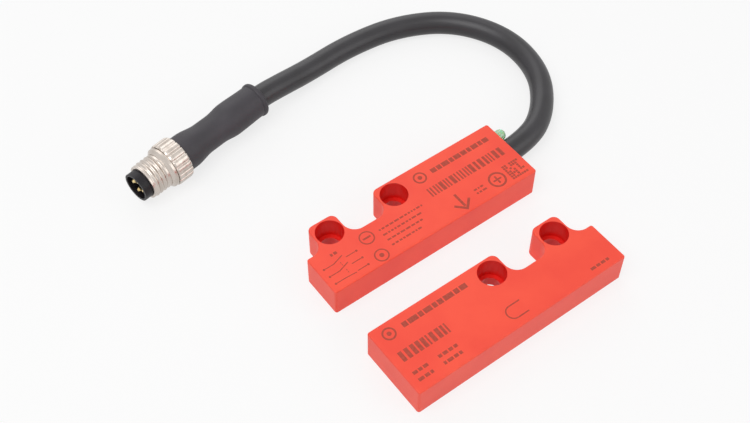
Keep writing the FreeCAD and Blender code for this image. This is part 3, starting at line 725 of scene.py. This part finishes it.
magnetPrint = {
    "corner": (-16.0, -39.2), "seed": 8,
    "marks": [
        (target, 3.3, 13.4, 1.25),
        (printRow, 6.4, 12.8, 15.4, 1.15, 2.2),
        (strokeBand, 1.9, 6.9, 11.4, 2.3),
        (printRow, 1.7, 3.7, 3.6, 0.7, 1.3), (printRow, 7.6, 3.7, 4.4, 0.7, 1.3),
        (printRow, 1.7, 2.0, 3.6, 0.7, 1.3), (printRow, 7.6, 2.0, 4.4, 0.7, 1.3),
        # horseshoe magnet
        (circle, 25.0, 3.3, 1.45, marks["medium"], 90, 270),
        (bar, 25.05, 4.61, 2.6, 0.28), (bar, 25.05, 1.71, 2.6, 0.28),
        (printRow, 43.4, 1.4, 4.6, 0.6, 1.2),
    ],
}

markPiece("sensorMarks", sensorPrint)
markPiece("magnetMarks", magnetPrint)
print("laser marks")


# Stage, in metres: a pale floor and a light tent of soft lamps
stage = {
    "floorSize": 4.0, "floorHeight": -0.00002, "floor": "#F4F4F4", "floorRough": 0.9, "floorGlow": 0.76,
    "sky": 0.42,
    "lamps": [
        {"name": "keyLamp", "place": (-0.25, -0.05, 0.55), "size": 0.45, "power": 1.75},
        {"name": "fillLamp", "place": (0.35, -0.45, 0.30), "size": 0.45, "power": 0.7},
        {"name": "backLamp", "place": (0.20, 0.50, 0.40), "size": 0.45, "power": 0.7},
    ],
}


# How far a ray sees the white background: 1 from the camera, in reflections and through glass
def seenDirectly(tree):
    path = addNode(tree, "ShaderNodeLightPath").outputs
    seen = addNode(
        tree, "ShaderNodeMath", {"operation": "MAXIMUM"},
        i0=path["Is Camera Ray"], i1=path["Is Glossy Ray"],
    )
    return addNode(
        tree, "ShaderNodeMath", {"operation": "MAXIMUM"},
        i0=seen.outputs[0], i1=path["Is Transmission Ray"],
    ).outputs[0]


def buildFloor():
    shape = bmesh.new()
    half = stage["floorSize"] / 2
    shape.faces.new([
        shape.verts.new((x * half, y * half, stage["floorHeight"]))
        for x, y in ((-1, -1), (1, -1), (1, 1), (-1, 1))
    ])
    mesh = bpy.data.meshes.new("floor")
    shape.to_mesh(mesh)
    shape.free()
    floor = bpy.data.objects.new("floor", mesh)
    bpy.context.scene.collection.objects.link(floor)
    material, tree, shader = newMaterial("pale_card")
    shader.inputs["Base Color"].default_value = linearColour(stage["floor"])
    shader.inputs["Roughness"].default_value = stage["floorRough"]
    share = addNode(
        tree, "ShaderNodeMath", {"operation": "MULTIPLY"}, i0=seenDirectly(tree), i1=stage["floorGlow"]
    )
    white = addNode(tree, "ShaderNodeEmission", Color=(1, 1, 1, 1), Strength=1.0)
    mixed = addNode(
        tree, "ShaderNodeMixShader", Fac=share.outputs[0], i1=shader.outputs[0], i2=white.outputs[0]
    )
    output = next(node for node in tree.nodes if node.bl_idname == "ShaderNodeOutputMaterial")
    tree.links.new(mixed.outputs[0], output.inputs["Surface"])
    mesh.materials.append(material)


def buildLights():
    for lamp in stage["lamps"]:
        data = bpy.data.lights.new(lamp["name"], "AREA")
        data.energy, data.size = lamp["power"], lamp["size"]
        light = bpy.data.objects.new(lamp["name"], data)
        light.location = lamp["place"]
        light.rotation_euler = (-Vector(lamp["place"])).to_track_quat("-Z", "Y").to_euler()
        bpy.context.scene.collection.objects.link(light)
    world = bpy.data.worlds.new("lightTent")
    bpy.context.scene.world = world
    world.use_nodes = True
    tree = world.node_tree
    tree.nodes.clear()
    strength = addNode(
        tree, "ShaderNodeMapRange", i0=seenDirectly(tree), i1=0.0, i2=1.0, i3=stage["sky"], i4=1.0
    )
    glow = addNode(tree, "ShaderNodeBackground", Color=(1, 1, 1, 1), Strength=strength.outputs[0])
    addNode(tree, "ShaderNodeOutputWorld", Surface=glow.outputs[0])


# The photograph's camera, fitted to the corners of both blocks. Its clip distances are metres.
view = {
    "aim": (5.54, 3.15, 0.0), "azimuth": -36.6, "elevation": 52.3, "distance": 244.6,
    "lens": 56.4, "sensor": 36, "clip": (0.01, 10),
}


def buildCamera():
    turn, rise = math.radians(view["azimuth"]), math.radians(view["elevation"])
    back = Vector((math.sin(turn) * math.cos(rise), -math.cos(turn) * math.cos(rise), math.sin(rise)))
    data = bpy.data.cameras.new("photoCamera")
    data.lens, data.sensor_width = view["lens"], view["sensor"]
    data.clip_start, data.clip_end = view["clip"]
    camera = bpy.data.objects.new("photoCamera", data)
    camera.location = Vector(view["aim"]) * mm + back * view["distance"] * mm
    camera.rotation_euler = back.to_track_quat("Z", "Y").to_euler()
    bpy.context.scene.collection.objects.link(camera)
    bpy.context.scene.camera = camera


buildFloor()
buildLights()
buildCamera()
bpy.context.scene.view_settings.view_transform = "Standard"
print("stage and camera")

bpy.context.view_layer.update()
